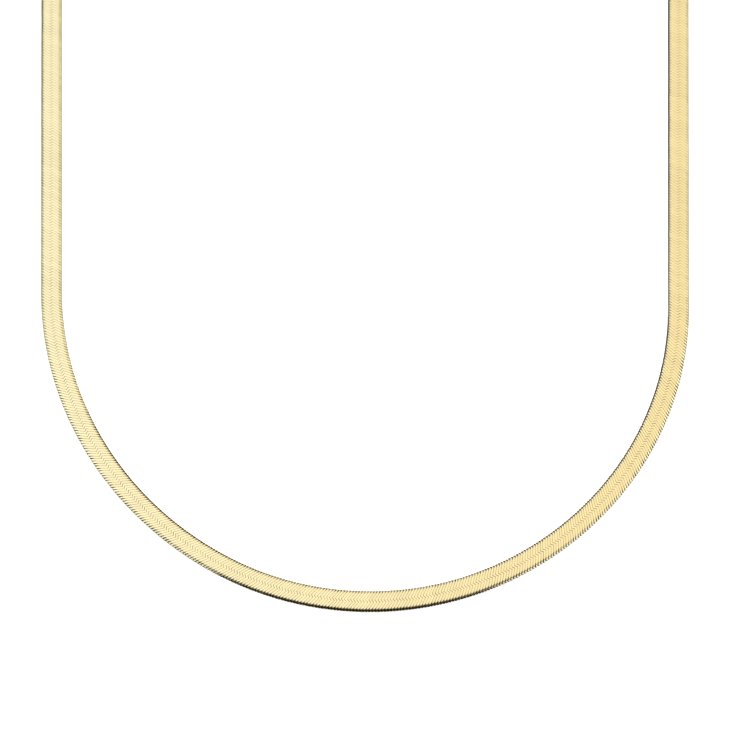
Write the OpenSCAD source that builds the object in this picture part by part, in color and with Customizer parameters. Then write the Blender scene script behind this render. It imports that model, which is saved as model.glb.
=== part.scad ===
// Herringbone chain necklace, laid flat in a closed loop, in millimetres.
// +Z is up from the surface it lies on, -Y is the front of the loop and the clasp is at the back.

/* [Band] */
// Width of the woven band
band_w = 3.5; // [2.8:0.1:5]
// Thickness of the woven band
band_t = 0.9; // [0.8:0.05:1.2]
// Length of the whole necklace round the loop, with its clasp
chain_l = 457; // [410:1:560]

/* [Loop] */
// Mean radius of the front curve, along the middle of the band
front_r = 52.1; // [46:0.1:58]
// How far each side leans outward towards the back, in degrees
side_lean = 1.2; // [0:0.1:3]

/* [End caps] */
// Width of an end cap
cap_w = 3.7; // [3.3:0.05:5.2]
// Length of the cap's sleeve over the band's pressed end
cap_l = 2.2; // [1.9:0.1:4]
// Thickness of the cap's sheet metal
cap_wall = 0.2; // [0.15:0.01:0.3]
// Length of the tongue, from the sleeve to the middle of its eye
tongue_l = 2.6; // [2.4:0.1:4]
// Thickness of the band where it is pressed flat inside the cap
press_t = 0.5; // [0.4:0.02:0.7]
// Length of the band's pressed end
press_l = 1.5; // [1:0.1:1.7]

/* [Rings and eyes] */
// Wire of the two jump rings
ring_wire = 0.5; // [0.4:0.02:0.7]
// Wire of the eyes on the caps and on the clasp
eye_wire = 0.5; // [0.4:0.02:0.7]
// How far a jump ring leans out of the flat, in degrees
ring_lean = 30; // [28:1:45]
// Clearance between metal pieces that hang in each other
play = 0.1; // [0.08:0.01:0.2]
// Clearance between a cap's socket and the pressed end in it
fit = 0.05; // [0.03:0.01:0.1]

/* [Clasp] */
// Distance between the two places where jump rings sit in the clasp
clasp_span = 7.6; // [7.2:0.1:10]
// Width of the clasp
clasp_w = 4.8; // [4.5:0.1:6]
// Thickness of the clasp at its root
clasp_t = 1.7; // [1.4:0.1:2.4]
// Thickness of the clasp at its tip
claw_t = 0.7; // [0.6:0.05:0.9]
// How far each cap turns off the clasp's line, in degrees
cap_turn = 12; // [8:1:16]

/* [Hidden] */
$fn = 96;
gold = [0.93, 0.80, 0.46];
// How far two shapes of one solid run into each other
overlap = 0.05;
// Degrees of turn between two rings of points on the band's curves
facet_deg = 3;
// Facets on each round edge of the band
edge_steps = 5;
// Width of the tongue at its eye, as a share of the cap's width
tongue_share = 0.6;
// Width of the claw's wire at its tip and at its root, as shares of its thickness there
tip_share = 0.9;
root_share = 0.8;
// Share of its swell that the claw's wire has where the claw is widest
widest_swell = 0.57;
// Rings of points round the claw, and points on each ring
claw_rings = 36;
claw_sides = 14;
// Lever knob: its place round the claw in degrees, its diameter and how far it stands out
knob_turn = 245;
knob_d = 1.1;
knob_out = 0.4;

// The front curve as it lies, from left to right: [share of the turn, share of front_r]
FRONT = [
    [0.334, 1.056],
    [0.311, 0.956],
    [0.355, 0.986]
];
front_turn = 180 - 2 * side_lean;

function rad(deg) = deg * PI / 180;
function total(list, i = 0) = i < len(list) ? list[i] + total(list, i + 1) : 0;

// Eyes and jump rings: a leaning ring needs room to pass through a flat eye
eye_r = (eye_wire / 2 + ring_wire / 2 + play) / sin(ring_lean);
eye_out = eye_r + eye_wire / 2;
claw_tip_w = claw_t * tip_share;
hook_r = (claw_t / 2 + ring_wire / 2 + 2 * play) / sin(ring_lean);
hook_out = hook_r + claw_tip_w / 2;
ring_r = (max(eye_out, hook_out) + eye_out + play) / 2;
hang_z = max(ring_r * sin(ring_lean) + ring_wire / 2, clasp_t / 2 + overlap);

// The fastening, from the clasp's middle out to one end of the band
cap_reach = cap_l + tongue_l;
link_turn = cap_turn / 2;
end_x = clasp_span / 2 + 2 * ring_r * cos(link_turn) + cap_reach * cos(cap_turn);
end_drop = 2 * ring_r * sin(link_turn) + cap_reach * sin(cap_turn);
fastening_l = clasp_span + 4 * ring_r + 2 * cap_reach;

// Front curve: each arc's first heading, [length, turn] and travel along X and Y
FRONT_TURNS = [for (arc = FRONT) arc[0] * front_turn];
FRONT_RADII = [for (arc = FRONT) arc[1] * front_r];
FRONT_ARCS = [for (i = [0 : len(FRONT) - 1]) [FRONT_RADII[i] * rad(FRONT_TURNS[i]), FRONT_TURNS[i]]];
function front_heading(i) =
    side_lean - 90 + total([for (k = [0 : 1 : i - 1]) FRONT_TURNS[k]]);
front_l = total([for (arc = FRONT_ARCS) arc[0]]);
front_dx = total([for (i = [0 : len(FRONT) - 1])
    FRONT_RADII[i] * (sin(front_heading(i + 1)) - sin(front_heading(i)))]);
front_dy = total([for (i = [0 : len(FRONT) - 1])
    FRONT_RADII[i] * (cos(front_heading(i)) - cos(front_heading(i + 1)))]);

// The back curve and the two sides close the loop at its full length
back_turn = 90 + side_lean - cap_turn;
woven_l = chain_l - fastening_l - front_l;
back_r = (woven_l * sin(side_lean) + front_dx - 2 * end_x)
    / (2 * (cos(side_lean) - sin(cap_turn) + rad(back_turn) * sin(side_lean)));
sides_l = woven_l - 2 * back_r * rad(back_turn);
side_left_l = (sides_l + front_dy / cos(side_lean)) / 2;
side_right_l = (sides_l - front_dy / cos(side_lean)) / 2;

// The band's route from its left end: [length, turn in degrees], with no turn on a straight
ROUTE = concat(
    [[back_r * rad(back_turn), back_turn], [side_left_l, 0]],
    FRONT_ARCS,
    [[side_right_l, 0], [back_r * rad(back_turn), back_turn]]
);
function radius(seg) = seg[0] / rad(seg[1]);
function next(at, seg) = seg[1] == 0
    ? [at[0] + seg[0] * cos(at[2]), at[1] + seg[0] * sin(at[2]), at[2]]
    : [at[0] + radius(seg) * (sin(at[2] + seg[1]) - sin(at[2])),
       at[1] - radius(seg) * (cos(at[2] + seg[1]) - cos(at[2])),
       at[2] + seg[1]];
function start(i) = i == 0 ? [-end_x, -end_drop, 180 + cap_turn] : next(start(i - 1), ROUTE[i - 1]);

// The loop is centred on the origin: its lowest arc and the clasp's back edge set where it lies
lowest = min([for (i = [0 : len(ROUTE) - 1])
    let (at = start(i), low = ROUTE[i][1] > 0 && at[2] <= 360 && at[2] + ROUTE[i][1] >= 360)
    low ? at[1] + radius(ROUTE[i]) * (cos(at[2]) - 1) : 0]) - band_w / 2;
clasp_y = -(clasp_w / 2 + lowest) / 2;

// End cap
press_w = band_w - band_t;
cap_t = press_t + 2 * (fit + cap_wall);
tongue_t = eye_wire;
tongue_w = cap_w * tongue_share;

// Clasp: a claw loop whose wire swells towards its root, narrow at the tip and wide at the belly
claw_root_w = clasp_t * root_share;
claw_side_w = (claw_tip_w + claw_root_w) / 2;
claw_belly = hook_r + ((clasp_w - claw_side_w) / 2 - hook_r) / widest_swell;
claw_x = clasp_span / 2;
claw_root_x = eye_r + claw_root_w / 2 - clasp_span / 2;

// Outline across the band or a cap's sleeve: flat faces and round edges, standing on the surface
function flat_outline(w, t) = [for (side = [1, -1], k = [0 : edge_steps])
    let (a = 180 * k / edge_steps - 90)
    [side * ((w - t) / 2 + t / 2 * cos(a)), t / 2 + side * t / 2 * sin(a)]];

// A closed skin over rings of points; each ring runs the same way round as its neighbour
module skin(rings, closed = false) {
    sides = len(rings[0]);
    count = len(rings);
    function at(i, j) = (i % count) * sides + j % sides;
    walls = [for (i = [0 : count - (closed ? 1 : 2)], j = [0 : sides - 1])
        [at(i, j), at(i, j + 1), at(i + 1, j + 1), at(i + 1, j)]];
    ends = closed ? [] : [
        [for (j = [sides - 1 : -1 : 0]) at(0, j)],
        [for (j = [0 : sides - 1]) at(count - 1, j)]
    ];
    polyhedron([for (ring = rings) each ring], concat(walls, ends), convexity = 10);
}

// Stations along a stretch of the route: [x, y, heading], close enough together for its turn
function stations(i) =
    let (at = start(i), seg = ROUTE[i], steps = max(1, ceil(seg[1] / facet_deg)))
    [for (k = [0 : steps - 1]) next(at, seg * k / steps)];

function band_ring(at) = [for (p = flat_outline(band_w, band_t))
    [at[0] + p[0] * sin(at[2]), at[1] - p[0] * cos(at[2]), p[1]]];

// Places a piece at one end of the fastening: its +X runs from the band towards the clasp
module at_band_end(side) {
    translate([side * end_x, -end_drop, 0]) rotate(side > 0 ? 180 - cap_turn : cap_turn) children();
}

module laid() {
    translate([0, clasp_y, 0]) children();
}

module chain() {
    color(gold) laid() {
        skin([
            for (i = [0 : len(ROUTE) - 1]) each [for (at = stations(i)) band_ring(at)],
            band_ring(start(len(ROUTE)))
        ]);
        for (side = [-1, 1]) at_band_end(side)
            translate([-press_l, -press_w / 2, (cap_t - press_t) / 2])
                cube([2 * press_l, press_w, press_t]);
    }
}

module flat_eye() {
    rotate_extrude() translate([eye_r, 0]) circle(d = eye_wire);
}

module flat_section(w, t) {
    translate([0, t / 2]) {
        square([w - t, t], center = true);
        for (side = [-1, 1]) translate([side * (w - t) / 2, 0]) circle(d = t);
    }
}

module sleeve() {
    difference() {
        translate([fit, 0, 0]) rotate([90, 0, 90]) linear_extrude(cap_l - fit)
            flat_section(cap_w, cap_t);
        translate([-overlap, -press_w / 2 - fit, cap_wall])
            cube([press_l + fit + overlap, press_w + 2 * fit, press_t + 2 * fit]);
    }
}

// The tongue rises from the sleeve to the height at which the rings hang, and narrows to its eye
module tongue() {
    rim = cap_reach - eye_r;
    low = (cap_t - tongue_t) / 2;
    high = hang_z - tongue_t / 2;
    intersection() {
        translate([0, cap_w / 2, 0]) rotate([90, 0, 0]) linear_extrude(cap_w) polygon([
            [cap_l - cap_wall, low], [cap_l, low], [rim, high],
            [rim, high + tongue_t], [cap_l, low + tongue_t], [cap_l - cap_wall, low + tongue_t]
        ]);
        linear_extrude(hang_z + tongue_t) polygon([
            [0, -cap_w / 2], [cap_l, -cap_w / 2 + cap_wall], [rim, -tongue_w / 2],
            [rim, tongue_w / 2], [cap_l, cap_w / 2 - cap_wall], [0, cap_w / 2]
        ]);
    }
}

module end_cap(side) {
    color(gold) laid() at_band_end(side) {
        sleeve();
        tongue();
        translate([cap_reach, 0, hang_z]) flat_eye();
    }
}

module jump_ring(side) {
    color(gold) laid()
        translate([side * (clasp_span / 2 + ring_r * cos(link_turn)), -ring_r * sin(link_turn), hang_z])
            rotate([side * ring_lean, 0, -side * link_turn])
                rotate_extrude() translate([ring_r, 0]) circle(d = ring_wire);
}

// The claw's loop: angle t runs round it from the tip, and swell grows from 0 there to 1 at its root
function swell(t) = (1 - cos(t)) / 2;
function claw_reach(t) = cos(t) > 0 ? hook_r : claw_x - claw_root_x;
function claw_half(t) = hook_r + (claw_belly - hook_r) * swell(t);
function claw_middle(t) = [claw_x + claw_reach(t) * cos(t), claw_half(t) * sin(t)];
function claw_along(t) =
    let (v = [-claw_reach(t) * sin(t), claw_half(t) * cos(t) + (claw_belly - hook_r) * pow(sin(t), 2) / 2])
    v / norm(v);
function claw_point(t, a) =
    let (
        w = claw_tip_w + (claw_root_w - claw_tip_w) * swell(t),
        thick = claw_t + (clasp_t - claw_t) * swell(t),
        middle = claw_middle(t),
        v = claw_along(t)
    )
    [middle[0] + w / 2 * cos(a) * v[1], middle[1] - w / 2 * cos(a) * v[0], thick / 2 * sin(a)];

module claw() {
    skin([for (i = [0 : claw_rings - 1])
        [for (j = [0 : claw_sides - 1]) claw_point(360 * i / claw_rings, 360 * j / claw_sides)]],
        closed = true);
}

module clasp() {
    color(gold) laid() translate([0, 0, hang_z]) {
        claw();
        translate([-clasp_span / 2, 0, 0]) flat_eye();
        translate(claw_middle(knob_turn)) rotate([90, 0, 0])
            cylinder(d = knob_d, h = claw_side_w / 2 + knob_out);
    }
}

chain();
end_cap(-1);  // end_cap_left
end_cap(1);  // end_cap_right
jump_ring(-1);  // ring_left
jump_ring(1);  // ring_right
clasp();
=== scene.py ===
"""A herringbone neck chain in yellow gold, lying flat in a closed loop on a pale table."""

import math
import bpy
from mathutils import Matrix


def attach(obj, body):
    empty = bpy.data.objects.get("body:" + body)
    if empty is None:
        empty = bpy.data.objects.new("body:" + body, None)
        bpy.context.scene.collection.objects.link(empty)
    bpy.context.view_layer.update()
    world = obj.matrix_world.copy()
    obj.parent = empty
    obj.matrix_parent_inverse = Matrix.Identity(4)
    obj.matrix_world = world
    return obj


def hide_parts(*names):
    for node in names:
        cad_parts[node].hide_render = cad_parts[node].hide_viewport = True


bl_info = {
    "name": "Herringbone Neck Chain",
    "version": (1, 0, 0),
    "blender": (4, 5, 0),
    "location": "3D View > Sidebar > Neck Chain",
    "description": "Weaves a flat herringbone chain and sets it on a photo table",
    "category": "Add Mesh",
}

import bpy
import numpy as np
from bpy.props import FloatProperty, FloatVectorProperty, IntProperty, PointerProperty
from mathutils import Vector

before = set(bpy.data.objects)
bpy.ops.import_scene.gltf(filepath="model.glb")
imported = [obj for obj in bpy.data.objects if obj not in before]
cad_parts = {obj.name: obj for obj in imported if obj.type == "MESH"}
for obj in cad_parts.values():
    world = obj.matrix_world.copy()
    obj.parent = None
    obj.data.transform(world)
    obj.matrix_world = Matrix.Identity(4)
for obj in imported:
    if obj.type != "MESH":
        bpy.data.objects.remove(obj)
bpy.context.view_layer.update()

# Sizes of the piece are in millimetres, those of the studio in metres
MM = 0.001
FITTINGS = ("end_cap_left", "end_cap_right", "ring_left", "ring_right", "clasp")


def linear(hex_colour):
    """An sRGB hex colour such as #F3E6B4 as linear red, green and blue."""
    parts = [int(hex_colour[i : i + 2], 16) / 255 for i in (1, 3, 5)]
    return tuple(c / 12.92 if c <= 0.04045 else ((c + 0.055) / 1.055) ** 2.4 for c in parts)


class BandSizes(bpy.types.PropertyGroup):
    """The woven band as it is laid, in millimetres and degrees."""

    length: FloatProperty(name="Chain length", description="Whole loop with its clasp", default=457)
    width: FloatProperty(name="Width", description="Width of the woven band", default=3.5)
    thickness: FloatProperty(name="Thickness", description="Thickness of the woven band", default=0.9)
    front_radius: FloatProperty(
        name="Front radius", description="Mean radius of the front curve", default=52.1
    )
    side_lean: FloatProperty(
        name="Side lean", description="How far each side leans outward, in degrees", default=1.2
    )
    cap_turn: FloatProperty(
        name="Cap turn", description="Turn of each cap off the clasp's line, in degrees", default=12
    )


class FasteningSizes(bpy.types.PropertyGroup):
    """What lies between the band's two ends, in millimetres and degrees."""

    cap_reach: FloatProperty(
        name="Cap reach", description="From the band's end to the middle of the cap's eye", default=4.8
    )
    wire: FloatProperty(name="Wire", description="Wire of the jump rings and the eyes", default=0.5)
    ring_lean: FloatProperty(
        name="Ring lean", description="How far a jump ring leans, in degrees", default=30
    )
    play: FloatProperty(name="Play", description="Clearance between hanging pieces", default=0.1)
    clasp_span: FloatProperty(
        name="Clasp span", description="Between the two rings' seats in the clasp", default=7.6
    )
    clasp_width: FloatProperty(name="Clasp width", description="Width of the clasp", default=4.8)
    clasp_thickness: FloatProperty(
        name="Clasp thickness", description="Thickness of the clasp at its root", default=1.7
    )
    claw_wire: FloatProperty(name="Claw wire", description="Clasp's thickness at its tip", default=0.7)
    claw_share: FloatProperty(
        name="Claw share",
        description="Width of the claw's tip as a share of its thickness",
        default=0.9,
    )
    root_share: FloatProperty(
        name="Root share",
        description="Width of the claw's root as a share of its thickness",
        default=0.8,
    )
    widest_swell: FloatProperty(
        name="Widest swell",
        description="Share of its swell that the claw has where it is widest",
        default=0.57,
    )
    knob_turn: FloatProperty(
        name="Knob turn", description="Place of the lever's knob round the claw, in degrees", default=245
    )
    knob_width: FloatProperty(name="Knob width", description="Diameter of the lever's knob", default=1.1)
    knob_out: FloatProperty(
        name="Knob out", description="How far the knob stands out of the claw", default=0.4
    )
    rest_gap: FloatProperty(
        name="Rest gap", description="Least height of the clasp above the table", default=0.05
    )
    pressed_width: FloatProperty(
        name="Pressed width", description="Width of the band's ends in the caps", default=2.6
    )
    pressed_thickness: FloatProperty(
        name="Pressed thickness", description="Thickness of the band's ends in the caps", default=0.5
    )
    pressed_length: FloatProperty(
        name="Pressed length", description="Length of the band's ends in the caps", default=1.5
    )
    pressed_height: FloatProperty(
        name="Pressed height", description="Underside of the band's ends above the table", default=0.25
    )


class WeaveSizes(bpy.types.PropertyGroup):
    """One link of the weave, in millimetres."""

    pitch: FloatProperty(name="Pitch", description="Distance from link to link", default=0.49)
    arm_slope: FloatProperty(
        name="Arm slope", description="Advance of a long arm for its run across the band", default=0.68
    )
    centre_slope: FloatProperty(
        name="Centre slope", description="Advance back of the short middle piece", default=0.86
    )
    centre_width: FloatProperty(
        name="Centre width", description="Width of the short middle piece", default=0.40
    )
    centre_shift: FloatProperty(
        name="Centre shift", description="How far the middle lies towards the outside", default=0.045
    )
    seam: FloatProperty(name="Seam", description="Gap between two links", default=0.016)
    shoulder: FloatProperty(
        name="Shoulder", description="Width that is worn off each side of a link", default=0.017
    )
    shoulder_depth: FloatProperty(
        name="Shoulder depth", description="How deep that wear goes", default=0.04
    )
    centre_shoulder: FloatProperty(
        name="Centre shoulder", description="The same width at the short middle piece", default=0.036
    )
    centre_depth: FloatProperty(
        name="Centre depth", description="The same depth at the short middle piece", default=0.1
    )
    centre_fade: FloatProperty(
        name="Centre fade", description="Run in which the middle's deeper wear ends", default=0.06
    )
    edge_shoulder: FloatProperty(
        name="Edge shoulder", description="The same width at the band's edge", default=0.105
    )
    edge_depth: FloatProperty(
        name="Edge depth", description="The same depth at the band's edge", default=0.32
    )
    edge_curve: FloatProperty(
        name="Edge curve", description="How soon the wear widens: the smaller, the sooner", default=0.5
    )
    rim_hold: FloatProperty(
        name="Rim hold",
        description="Share of the edge's depth that is left on the upright rim",
        default=0.4,
    )
    edge_run: FloatProperty(
        name="Edge run", description="How far from the band's edge the wear starts to widen", default=0.62
    )
    wear_spread: FloatProperty(
        name="Wear spread", description="How much the wear differs from link to link", default=0.35
    )
    squared_run: FloatProperty(
        name="Squared run", description="Run at each end in which the zigzag turns square", default=4.0
    )
    pieces: IntProperty(name="Runs", description="Runs that the band is built in", default=4)


class GoldColours(bpy.types.PropertyGroup):
    """Colours of the metal, with painted shade in the wire sides' dark colour."""

    woven: FloatVectorProperty(
        name="Woven gold",
        description="Colour of the lapped links",
        subtype="COLOR",
        size=3,
        min=0,
        max=1,
        default=linear("#F6ECC2"),
    )
    # Dark olive for the unlapped sides: painted shade, which darkens the seams between links and the ticks
    # along the band's edges.
    sides: FloatVectorProperty(
        name="Wire sides",
        description="Colour of the links' unlapped sides",
        subtype="COLOR",
        size=3,
        min=0,
        max=1,
        default=linear("#665620"),
    )
    fittings: FloatVectorProperty(
        name="Fitting gold",
        description="Colour of the polished clasp, rings and caps",
        subtype="COLOR",
        size=3,
        min=0,
        max=1,
        default=linear("#F3DFA0"),
    )


class StageSizes(bpy.types.PropertyGroup):
    """Camera and table."""

    lens: FloatProperty(name="Lens", description="Focal length on a 36 mm sensor", default=234.8)
    distance: FloatProperty(
        name="Distance", description="From the camera to the middle of the view, in mm", default=785
    )
    elevation: FloatProperty(
        name="Elevation", description="Camera's angle above the table, in degrees", default=70.5
    )
    aim: FloatVectorProperty(
        name="Aim", description="Middle of the view, in mm", size=3, default=(0.5, -45.05, 0.9)
    )
    table: FloatVectorProperty(
        name="Table",
        description="Colour of the table",
        subtype="COLOR",
        size=3,
        min=0,
        max=1,
        default=linear("#FAFAF9"),
    )


class NeckChain(bpy.types.PropertyGroup):
    """All the sizes and colours."""

    band: PointerProperty(type=BandSizes)
    fastening: PointerProperty(type=FasteningSizes)
    weave: PointerProperty(type=WeaveSizes)
    gold: PointerProperty(type=GoldColours)
    stage: PointerProperty(type=StageSizes)


class Fastening:
    """Where the caps, rings and clasp lie between the band's two ends, in mm."""

    def __init__(self, sizes, cap_turn):
        lean = math.sin(math.radians(sizes.ring_lean))
        self.sizes = sizes
        self.eye = (sizes.wire + sizes.play) / lean
        self.hook = ((sizes.claw_wire + sizes.wire) / 2 + 2 * sizes.play) / lean
        self.tip_width = sizes.claw_wire * sizes.claw_share
        self.root_width = sizes.clasp_thickness * sizes.root_share
        self.side_width = (self.tip_width + self.root_width) / 2
        eye_out = self.eye + sizes.wire / 2
        self.ring = (max(eye_out, self.hook + self.tip_width / 2) + eye_out + sizes.play) / 2
        reach = sizes.cap_reach
        self.end_x = (
            sizes.clasp_span / 2 + 2 * self.ring * math.cos(cap_turn / 2) + reach * math.cos(cap_turn)
        )
        self.end_drop = 2 * self.ring * math.sin(cap_turn / 2) + reach * math.sin(cap_turn)
        self.length = sizes.clasp_span + 4 * self.ring + 2 * reach
        self.hang = max(self.ring * lean + sizes.wire / 2, sizes.clasp_thickness / 2 + sizes.rest_gap)
        half = (sizes.clasp_width - self.side_width) / 2
        self.belly = self.hook + (half - self.hook) / sizes.widest_swell
        self.root_reach = sizes.clasp_span - self.eye - self.root_width / 2

    def claw(self, turn):
        """Middle of the claw's wire, its direction, width and thickness, at angles round its loop."""
        swell = (1 - np.cos(turn)) / 2
        reach = np.where(np.cos(turn) > 0, self.hook, self.root_reach)
        grow = self.belly - self.hook
        half = self.hook + grow * swell
        x = self.sizes.clasp_span / 2 + reach * np.cos(turn)
        y = half * np.sin(turn)
        ahead_x = -reach * np.sin(turn)
        ahead_y = half * np.cos(turn) + grow * np.sin(turn) ** 2 / 2
        length = np.hypot(ahead_x, ahead_y)
        width = self.tip_width + (self.root_width - self.tip_width) * swell
        thick = self.sizes.claw_wire + (self.sizes.clasp_thickness - self.sizes.claw_wire) * swell
        return x, y, ahead_x / length, ahead_y / length, width, thick


class Route:
    """The band's middle line, from its left end round the front to its right end, in mm."""

    # The front curve from left to right: share of the turn, share of the front radius
    FRONT = ((0.334, 1.056), (0.311, 0.956), (0.355, 0.986))

    def __init__(self, band, fastening):
        lean = math.radians(band.side_lean)
        cap_turn = math.radians(band.cap_turn)
        self.fastening = Fastening(fastening, cap_turn)
        end_x = self.fastening.end_x
        arcs = [
            (share * radius * band.front_radius * (math.pi - 2 * lean), share * (math.pi - 2 * lean))
            for share, radius in self.FRONT
        ]
        front_dx, front_dy = 0, 0
        heading = lean - math.pi / 2
        for length, turn in arcs:
            front_dx += length / turn * (math.sin(heading + turn) - math.sin(heading))
            front_dy += length / turn * (math.cos(heading) - math.cos(heading + turn))
            heading += turn
        woven = band.length - self.fastening.length - sum(length for length, turn in arcs)
        back_turn = math.pi / 2 + lean - cap_turn
        back_radius = (woven * math.sin(lean) + front_dx - 2 * end_x) / (
            2 * (math.cos(lean) - math.sin(cap_turn) + back_turn * math.sin(lean))
        )
        sides = woven - 2 * back_radius * back_turn
        drop = front_dy / math.cos(lean)
        back = (back_radius * back_turn, back_turn)
        self.stretches = [back, ((sides + drop) / 2, 0), *arcs, ((sides - drop) / 2, 0), back]
        self.length = sum(length for length, turn in self.stretches)
        self.starts = [(-end_x, -self.fastening.end_drop, math.pi + cap_turn)]
        for length, turn in self.stretches:
            self.starts.append(self.step(self.starts[-1], length, turn, 1.0))
        self.centre_on_table(band, fastening)

    # Places along the route at which its frontmost point is looked for
    PLACES = 4000

    def centre_on_table(self, band, fastening):
        """Moves the route so that the loop's box is centred on the origin."""
        steps = np.linspace(0, self.length, self.PLACES)
        lowest = self.lay(steps, -band.width / 2 * np.ones_like(steps))[1].min()
        self.clasp_y = -(fastening.clasp_width / 2 + lowest) / 2
        self.starts = [(x, y + self.clasp_y, heading) for x, y, heading in self.starts]

    @staticmethod
    def step(start, length, turn, share):
        """Where the route is after a share of a stretch."""
        x, y, heading = start
        if turn == 0:
            return (
                x + length * share * np.cos(heading),
                y + length * share * np.sin(heading),
                heading + 0 * share,
            )
        radius = length / turn
        ahead = heading + turn * share
        return (
            x + radius * (np.sin(ahead) - np.sin(heading)),
            y - radius * (np.cos(ahead) - np.cos(heading)),
            ahead,
        )

    def lay(self, along, inward):
        """Table coordinates for distances along the route and inward from it."""
        x, y = np.empty_like(along), np.empty_like(along)
        passed = 0
        for index, (length, turn) in enumerate(self.stretches):
            last = index == len(self.stretches) - 1
            here = (along >= passed) | (index == 0)
            here &= (along < passed + length) | last
            px, py, heading = self.step(self.starts[index], length, turn, (along[here] - passed) / length)
            x[here] = px - inward[here] * np.sin(heading)
            y[here] = py + inward[here] * np.cos(heading)
            passed += length
        return x, y


def advance(weave, across):
    """How far the zigzag of a link is ahead at a place across the band."""
    half = weave.centre_width / 2
    u = across + weave.centre_shift
    arm = np.sign(u) * ((np.abs(u) - half) * weave.arm_slope - half * weave.centre_slope)
    return np.where(np.abs(u) < half, -u * weave.centre_slope, arm)


def mesh_piece(name, points, faces, crease):
    """A smooth mesh object with sharp edges where faces meet at more than the crease angle, in degrees."""
    mesh = bpy.data.meshes.new(name)
    mesh.from_pydata(points.tolist(), [], faces.tolist())
    mesh.update()
    mesh.shade_smooth()
    mesh.set_sharp_from_angle(angle=math.radians(crease))
    piece = bpy.data.objects.new(name, mesh)
    bpy.context.scene.collection.objects.link(piece)
    return piece


def ring_faces(count, sides, closed):
    """Four-sided faces between rings of points, each ring with the same number of sides."""
    i, j = np.meshgrid(np.arange(count if closed else count - 1), np.arange(sides), indexing="ij")
    i2, j2 = (i + 1) % count, (j + 1) % sides
    return np.stack([i * sides + j, i2 * sides + j, i2 * sides + j2, i * sides + j2], axis=-1).reshape(-1, 4)


# Points on the half round that each link makes over the band's edge
RIM_POINTS = 9


def link_path(band, weave):
    """Once round a link: place across the band, height, and inward normal (across, up)."""
    radius = band.thickness / 2
    flat = band.width / 2 - radius
    half = weave.centre_width / 2
    kinks = (half + weave.centre_fade, half, -half, -half - weave.centre_fade)
    turns = np.radians(np.linspace(0, 180, RIM_POINTS))
    rows = []
    for side in (1, -1):
        rows.append((side * (band.width / 2 - weave.edge_run), radius + side * radius, 0, -side))
        for turn in turns:
            out, up = np.sin(turn), np.cos(turn)
            rows.append((side * (flat + radius * out), radius + side * radius * up, -side * out, -side * up))
        rows.append((side * (band.width / 2 - weave.edge_run), radius - side * radius, 0, side))
        for kink in kinks:
            rows.append((side * kink - weave.centre_shift, radius - side * radius, 0, side))
    return np.array(rows)


def link_wear(band, weave, path):
    """Width and depth worn off each side of a link: most at the band's edges and in its middle."""
    across, upright = path[:, 0], np.abs(path[:, 3])
    edge = np.clip(1 - (band.width / 2 - np.abs(across)) / weave.edge_run, 0, 1) ** weave.edge_curve
    outside = np.abs(across + weave.centre_shift) - weave.centre_width / 2
    centre = np.clip(1 - outside / weave.centre_fade, 0, 1)
    width = weave.shoulder + (weave.edge_shoulder - weave.shoulder) * edge
    held = weave.rim_hold + (1 - weave.rim_hold) * upright
    depth = weave.shoulder_depth + (weave.edge_depth - weave.shoulder_depth) * edge * held
    width += (weave.centre_shoulder - weave.shoulder) * centre
    depth += (weave.centre_depth - weave.shoulder_depth) * centre
    return width, depth


# Section of a link's wire: side, share of the worn width, share of the worn depth, share of the core.
SECTION = np.array(
    (
        (-1, 0, 0, 1),
        (-1, 0, 1, 0),
        (-1, 0.4, 0.5, 0),
        (-1, 1, 0, 0),
        (1, 1, 0, 0),
        (1, 0.4, 0.5, 0),
        (1, 0, 1, 0),
        (1, 0, 0, 1),
    )
)

# The face of that section that the lap reaches, from its fourth point to its fifth
LAPPED_FACE = 3

# Angle between two faces beyond which their edge stays sharp, in degrees: sheet and wire, casting
WIRE_CREASE = 28
CASTING_CREASE = 40


def woven_run(name, band, weave, route, first, last, count):
    """The links of one run as one mesh object."""
    pitch = route.length / count
    path = link_path(band, weave)
    side, worn_wide, worn_deep, core = SECTION.T
    worn_width, worn_depth = link_wear(band, weave, path)
    spread = np.random.default_rng(first).uniform(-1, 1, last - first) * weave.wear_spread
    wear = (1 + spread)[:, None, None] * (worn_width[:, None] * worn_wide)[None]
    lead = advance(weave, path[:, 0])[None, :, None]
    depth = worn_depth[:, None] * worn_deep + band.thickness / 2 * core
    across = path[:, 0, None] + path[:, 2, None] * depth
    height = path[:, 1, None] + path[:, 3, None] * depth
    middles = (np.arange(first, last) + 0.5) * pitch
    ends = np.minimum(middles, route.length - middles)
    zigzag = np.clip(ends / weave.squared_run, 0, 1)[:, None, None]
    s = middles[:, None, None] + lead * zigzag + side * ((pitch - weave.seam) / 2 - wear)
    u = np.broadcast_to(across[None], s.shape)
    z = np.broadcast_to(height[None], s.shape)
    x, y = route.lay(s.ravel(), u.ravel())
    points = np.stack([x, y, z.ravel()], axis=1) * MM
    rows, cols = len(path), len(SECTION)
    firsts = np.arange(last - first) * rows * cols
    quads = (ring_faces(rows, cols, True)[None] + firsts[:, None, None]).reshape(-1, 4)
    run = mesh_piece(name, points, quads, WIRE_CREASE)
    # All faces but the lapped one take the second material, whose dark colour is painted shade in the seams
    painted_shade_faces = np.ones((last - first, rows, cols), dtype=np.int32)
    painted_shade_faces[:, :, LAPPED_FACE] = 0
    run.data.polygons.foreach_set("material_index", painted_shade_faces.ravel())
    return run


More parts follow.
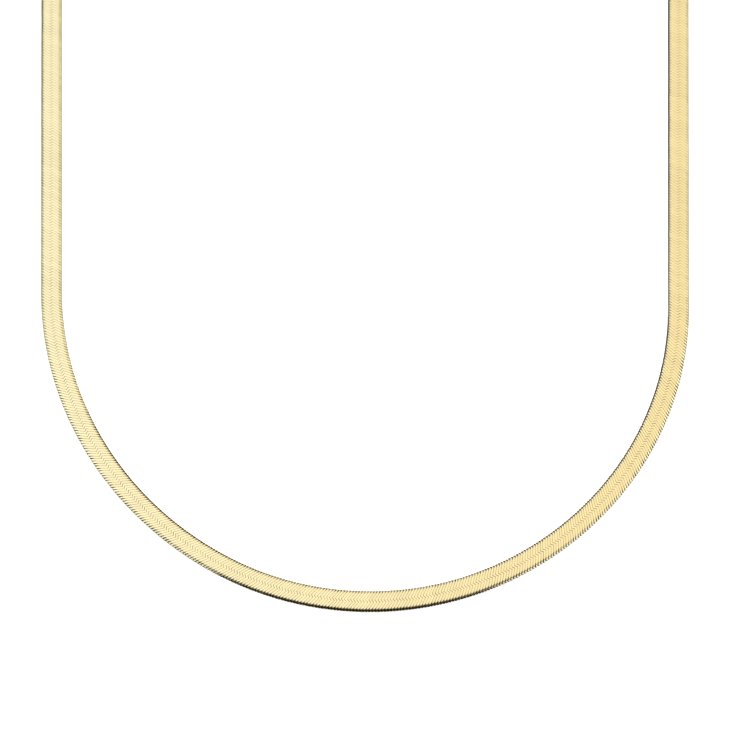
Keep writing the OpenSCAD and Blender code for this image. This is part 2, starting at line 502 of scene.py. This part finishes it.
def pressed_ends(band, fastening, route):
    """The band's two ends, pressed flat where they lie in the caps."""
    points, faces = [], []
    low = fastening.pressed_height
    for x, y, heading in (route.starts[0], route.starts[-1]):
        first = len(points)
        for along in (-fastening.pressed_length, fastening.pressed_length):
            for across, up in ((-0.5, 0), (0.5, 0), (0.5, 1), (-0.5, 1)):
                inward = across * fastening.pressed_width
                px = x + along * math.cos(heading) - inward * math.sin(heading)
                py = y + along * math.sin(heading) + inward * math.cos(heading)
                points.append((px, py, low + up * fastening.pressed_thickness))
        corners = ((0, 1, 5, 4), (1, 2, 6, 5), (2, 3, 7, 6), (3, 0, 4, 7), (0, 3, 2, 1), (4, 5, 6, 7))
        faces += [[first + corner for corner in face] for face in corners]
    return mesh_piece("pressed_ends", np.array(points) * MM, np.array(faces), WIRE_CREASE)


# Degrees between two points along the claw's loop and round its wire
LOOP_STEP = 3
WIRE_STEP = 10

# Outline of the lever's knob: share of its radius, share of its height
KNOB = ((1, 0), (1, 0.7), (0.96, 0.86), (0.84, 0.96), (0.62, 1), (0.001, 1))


def clasp_casting(route):
    """The clasp as one casting: its claw's loop, the eye at its root and the lever's knob."""
    fastening, sizes = route.fastening, route.fastening.sizes
    points, faces = [], []

    def add(rings, closed):
        """Adds a tube through rings of points."""
        rings = np.array(rings)
        faces.append(ring_faces(len(rings), rings.shape[1], closed) + sum(len(p) for p in points))
        points.append(rings.reshape(-1, 3))

    turn, around = np.radians(np.arange(0, 360, LOOP_STEP)), np.radians(np.arange(0, 360, WIRE_STEP))
    x, y, ahead_x, ahead_y, width, thick = (row[:, None] for row in fastening.claw(turn))
    side = width / 2 * np.cos(around)
    add(np.stack([x + side * ahead_y, y - side * ahead_x, thick / 2 * np.sin(around)], axis=-1), True)
    out = fastening.eye + sizes.wire / 2 * np.cos(around)
    eye = [
        out * np.cos(turn)[:, None] - sizes.clasp_span / 2,
        out * np.sin(turn)[:, None],
        np.ones_like(x) * sizes.wire / 2 * np.sin(around),
    ]
    add(np.stack(eye, axis=-1), True)
    middle = fastening.claw(np.radians(sizes.knob_turn))
    tall = fastening.side_width / 2 + sizes.knob_out
    rings = [
        [
            (
                middle[0] + share * sizes.knob_width / 2 * math.sin(a),
                middle[1] - height * tall,
                share * sizes.knob_width / 2 * math.cos(a),
            )
            for a in around
        ]
        for share, height in KNOB
    ]
    add(rings, False)
    placed = np.concatenate(points) + np.array((0, route.clasp_y, fastening.hang))
    return mesh_piece("clasp_casting", placed * MM, np.concatenate(faces), CASTING_CREASE)


def add_node(tree, kind, settings=None, **inputs):
    """Adds a node, with its settings and its input values or links."""
    node = tree.nodes.new(kind)
    for key, value in (settings or {}).items():
        setattr(node, key, value)
    for key, value in inputs.items():
        socket = node.inputs[key.replace("_", " ")]
        if isinstance(value, bpy.types.NodeSocket):
            tree.links.new(value, socket)
        else:
            socket.default_value = value
    return node


def new_material(name):
    """A material with its node tree and surface shader."""
    material = bpy.data.materials.new(name)
    material.use_nodes = True
    tree = material.node_tree
    return material, tree, tree.nodes["Principled BSDF"]


def uneven_finish(tree, surface, spacing, smoothest, roughest):
    """Lets the roughness waver over the piece, from mark to mark at a spacing in millimetres."""
    place = add_node(tree, "ShaderNodeTexCoord")
    marks = add_node(
        tree,
        "ShaderNodeTexNoise",
        Vector=place.outputs["Object"],
        Scale=1 / (spacing * MM),
        Detail=2.0,
    )
    rough = add_node(
        tree, "ShaderNodeMapRange", Value=marks.outputs["Fac"], To_Min=smoothest, To_Max=roughest
    )
    tree.links.new(rough.outputs["Result"], surface.inputs["Roughness"])


# Finish of a lapped link on its flat face and on its rim, with the normal's height where each begins
FACE_ROUGHNESS, FACE_UPRIGHT = 0.28, 0.9
RIM_ROUGHNESS, RIM_UPRIGHT = 0.1, 0.5

# Brightness of the darkest link as a share of the brightest one's
DARKEST_LINK = 0.95


def lapped_gold(colour):
    """Gold wire lapped flat: its softly brushed face makes the band read as one smooth ribbon of light."""
    material, tree, surface = new_material("lapped_gold_wire")
    surface.inputs["Metallic"].default_value = 1
    geometry = add_node(tree, "ShaderNodeNewGeometry")
    tone = add_node(
        tree,
        "ShaderNodeMapRange",
        Value=geometry.outputs["Random Per Island"],
        To_Min=DARKEST_LINK,
        To_Max=1.0,
    )
    tinted = add_node(
        tree,
        "ShaderNodeVectorMath",
        {"operation": "SCALE"},
        Scale=tone.outputs["Result"],
    )
    tinted.inputs[0].default_value = colour
    tree.links.new(tinted.outputs[0], surface.inputs["Base Color"])
    # The lap's fine scratches fade out over the rim, which keeps its mirror and so its sharp dark line
    normal = add_node(tree, "ShaderNodeSeparateXYZ", Vector=geometry.outputs["Normal"])
    upright = add_node(tree, "ShaderNodeMath", {"operation": "ABSOLUTE"}, Value=normal.outputs["Z"])
    rough = add_node(
        tree,
        "ShaderNodeMapRange",
        Value=upright.outputs["Value"],
        From_Min=RIM_UPRIGHT,
        From_Max=FACE_UPRIGHT,
        To_Min=RIM_ROUGHNESS,
        To_Max=FACE_ROUGHNESS,
    )
    tree.links.new(rough.outputs["Result"], surface.inputs["Roughness"])
    return material


# Millimetres between the marks that drawing leaves on the wire, coarser than real ones so that they show
DRAWING_MARKS = 0.4
DRAWN_SMOOTHEST, DRAWN_ROUGHEST = 0.5, 0.65


def painted_seam_shade_gold(colour):
    """The drawn wire's own sides, which no lap reaches: matt, and darkened by painted shade in their colour,
    so the seams read as lines.
    """
    material, tree, surface = new_material("painted_seam_shade_gold_wire")
    surface.inputs["Metallic"].default_value = 1
    # The dark base colour is painted shade for the seams between links and the ticks at the band's edges
    surface.inputs["Base Color"].default_value = (*colour, 1)
    uneven_finish(tree, surface, DRAWING_MARKS, DRAWN_SMOOTHEST, DRAWN_ROUGHEST)
    return material


# Millimetres between the waves that the buffing wheel leaves
BUFFING_WAVES = 1.0
BUFFED_SMOOTHEST, BUFFED_ROUGHEST = 0.1, 0.2


def polished_gold(colour):
    """Cast and buffed gold: a mirror with faint waves, which gives the fittings their sharp lights."""
    material, tree, surface = new_material("polished_cast_gold")
    surface.inputs["Metallic"].default_value = 1
    surface.inputs["Base Color"].default_value = (*colour, 1)
    uneven_finish(tree, surface, BUFFING_WAVES, BUFFED_SMOOTHEST, BUFFED_ROUGHEST)
    return material


class NECKCHAIN_OT_band(bpy.types.Operator):
    """Weaves the band of links along its route and presses its two ends"""

    bl_idname = "neckchain.band"
    bl_label = "Weave Band"

    def execute(self, context):
        sizes = context.scene.neck_chain
        band, weave = sizes.band, sizes.weave
        route = Route(band, sizes.fastening)
        gold = lapped_gold(sizes.gold.woven)
        # The sides' material carries painted shade: its dark colour stands for the shade in the seams and at
        # the edges
        painted_shade_sides = painted_seam_shade_gold(sizes.gold.sides)
        count = round(route.length / weave.pitch)
        marks = np.linspace(0, count, weave.pieces + 1).astype(int)
        for number, (first, last) in enumerate(zip(marks[:-1], marks[1:]), 1):
            run = woven_run(f"woven_links_{number}", band, weave, route, first, last, count)
            run.data.materials.append(gold)
            run.data.materials.append(painted_shade_sides)
            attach(run, "root")
            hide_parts("chain")
        ends = pressed_ends(band, sizes.fastening, route)
        ends.data.materials.append(gold)
        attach(ends, "root")
        return {"FINISHED"}


class NECKCHAIN_OT_fittings(bpy.types.Operator):
    """Gives the caps, rings and clasp their polished gold"""

    bl_idname = "neckchain.fittings"
    bl_label = "Polish Fittings"

    def execute(self, context):
        sizes = context.scene.neck_chain
        gold = polished_gold(sizes.gold.fittings)
        for name in FITTINGS:
            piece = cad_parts[name]
            for slot in piece.material_slots:
                slot.material = gold
        clasp = clasp_casting(Route(sizes.band, sizes.fastening))
        clasp.data.materials.append(gold)
        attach(clasp, "root")
        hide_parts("clasp")
        return {"FINISHED"}


def area_light(name, place, target, size, radiance, colour):
    """A flat light that faces a target, with the same brightness all over."""
    light = bpy.data.lights.new(name, "AREA")
    light.shape = "RECTANGLE"
    light.size, light.size_y = size
    light.energy = radiance * math.pi * size[0] * size[1]
    light.color = colour
    lamp = bpy.data.objects.new(name, light)
    lamp.location = place
    lamp.rotation_mode = "QUATERNION"
    lamp.rotation_quaternion = (Vector(target) - Vector(place)).to_track_quat("-Z", "Y")
    lamp.visible_camera = False
    bpy.context.scene.collection.objects.link(lamp)
    return lamp


# Flat part of the table, its bend up into the backdrop and the backdrop's top, in metres
TABLE_RADIUS = 2.6
TABLE_BEND = 0.6
BACKDROP_TOP = 3.0
# How far the table lies below the chain, so that the two don't share a face
TABLE_GAP = 0.00005
TABLE_SIDES = 96
BEND_STEPS = 10
TABLE_ROUGHNESS = 0.9
TABLE_GLOW = 0.45


def photo_table(colour):
    """A wide table of satin opal acrylic lit from below: an even white with hardly a shadow on it."""
    rings = [(0, -TABLE_GAP), (TABLE_RADIUS, -TABLE_GAP)]
    for turn in np.radians(np.linspace(90 / BEND_STEPS, 90, BEND_STEPS)):
        rings.append((TABLE_RADIUS + TABLE_BEND * math.sin(turn), TABLE_BEND * (1 - math.cos(turn))))
    rings.append((TABLE_RADIUS + TABLE_BEND, BACKDROP_TOP))
    sides = TABLE_SIDES
    points = [(0, 0, rings[0][1])]
    for radius, height in rings[1:]:
        for k in range(sides):
            turn = 2 * math.pi * k / sides
            points.append((radius * math.cos(turn), radius * math.sin(turn), height))
    faces = [(0, 1 + k, 1 + (k + 1) % sides) for k in range(sides)]
    for ring in range(len(rings) - 2):
        a, b = 1 + ring * sides, 1 + (ring + 1) * sides
        faces += [(a + k, b + k, b + (k + 1) % sides, a + (k + 1) % sides) for k in range(sides)]
    mesh = bpy.data.meshes.new("photo_table")
    mesh.from_pydata(points, [], faces)
    mesh.shade_smooth()
    table = bpy.data.objects.new("photo_table", mesh)
    bpy.context.scene.collection.objects.link(table)
    material, tree, surface = new_material("opal_acrylic")
    surface.inputs["Base Color"].default_value = (*colour, 1)
    surface.inputs["Roughness"].default_value = TABLE_ROUGHNESS
    surface.inputs["Emission Color"].default_value = (1, 1, 1, 1)
    surface.inputs["Emission Strength"].default_value = TABLE_GLOW
    mesh.materials.append(material)
    table.visible_glossy = False
    return table


# Lights, in metres: name, middle, point it faces, width and height, brightness, colour
LIGHTS = (
    ("left_softbox", (-0.435, 0.35, 0.9), (-0.435, 0.35, 0), (0.87, 1.2), 1.18, (1, 1, 1)),
    ("right_softbox", (0.435, 0.35, 0.9), (0.435, 0.35, 0), (0.87, 1.2), 1.11, (1, 0.868, 0.625)),
    ("back_panel", (0, 1.2, 0.9), (0, 1.2, 0), (0.8, 0.5), 0.75, (1, 1, 1)),
    ("right_card", (1.0, -0.35, 0.3), (0, -0.35, 0.3), (2.7, 2.6), 1.12, (1, 1, 1)),
    ("left_card", (-1.0, -0.44, 0.3), (0, -0.44, 0.3), (1.68, 2.6), 1.1, (1, 1, 1)),
    ("back_card", (0.03, 1.5, 0), (0.03, 0, 0), (0.75, 2.0), 0.6, (1, 1, 1)),
)

# The unlit rest of the room, which the edges mirror as thin dark lines
DARK_ROOM = (0.025, 0.018, 0.008, 1)

# Width of the camera's sensor, in millimetres
SENSOR_WIDTH = 36


class NECKCHAIN_OT_stage(bpy.types.Operator):
    """Sets the table, the lights and the camera"""

    bl_idname = "neckchain.stage"
    bl_label = "Set Stage"

    def execute(self, context):
        scene = context.scene
        stage = scene.neck_chain.stage
        photo_table(stage.table)
        for name, place, facing, size, radiance, colour in LIGHTS:
            area_light(name, place, facing, size, radiance, colour)
        world = bpy.data.worlds.new("studio")
        scene.world = world
        world.use_nodes = True
        world.node_tree.nodes["Background"].inputs["Color"].default_value = DARK_ROOM
        camera = bpy.data.objects.new("camera", bpy.data.cameras.new("camera"))
        camera.data.lens = stage.lens
        camera.data.sensor_width = SENSOR_WIDTH
        tilt = math.radians(stage.elevation)
        back = Vector((0, -math.cos(tilt), math.sin(tilt)))
        camera.location = (Vector(stage.aim) + back * stage.distance) * MM
        camera.rotation_euler = (math.pi / 2 - tilt, 0, 0)
        scene.collection.objects.link(camera)
        scene.camera = camera
        scene.view_settings.view_transform = "Standard"
        return {"FINISHED"}


class NECKCHAIN_PT_panel(bpy.types.Panel):
    """Lists the steps and their sizes"""

    bl_label = "Neck Chain"
    bl_idname = "NECKCHAIN_PT_panel"
    bl_space_type = "VIEW_3D"
    bl_region_type = "UI"
    bl_category = "Neck Chain"

    def draw(self, context):
        for step in STEPS:
            self.layout.operator(step.bl_idname)
        chain = context.scene.neck_chain
        for group in (chain.band, chain.fastening, chain.weave, chain.gold, chain.stage):
            box = self.layout.box()
            for name in group.bl_rna.properties.keys():
                if name not in ("rna_type", "name"):
                    box.prop(group, name)


STEPS = (NECKCHAIN_OT_band, NECKCHAIN_OT_fittings, NECKCHAIN_OT_stage)
CLASSES = (
    BandSizes,
    FasteningSizes,
    WeaveSizes,
    GoldColours,
    StageSizes,
    NeckChain,
    *STEPS,
    NECKCHAIN_PT_panel,
)


def register():
    for cls in CLASSES:
        bpy.utils.register_class(cls)
    bpy.types.Scene.neck_chain = PointerProperty(type=NeckChain)


def unregister():
    del bpy.types.Scene.neck_chain
    for cls in reversed(CLASSES):
        bpy.utils.unregister_class(cls)


def main():
    register()
    bpy.ops.neckchain.band()
    bpy.ops.neckchain.fittings()
    bpy.ops.neckchain.stage()


if __name__ == "__main__":
    main()
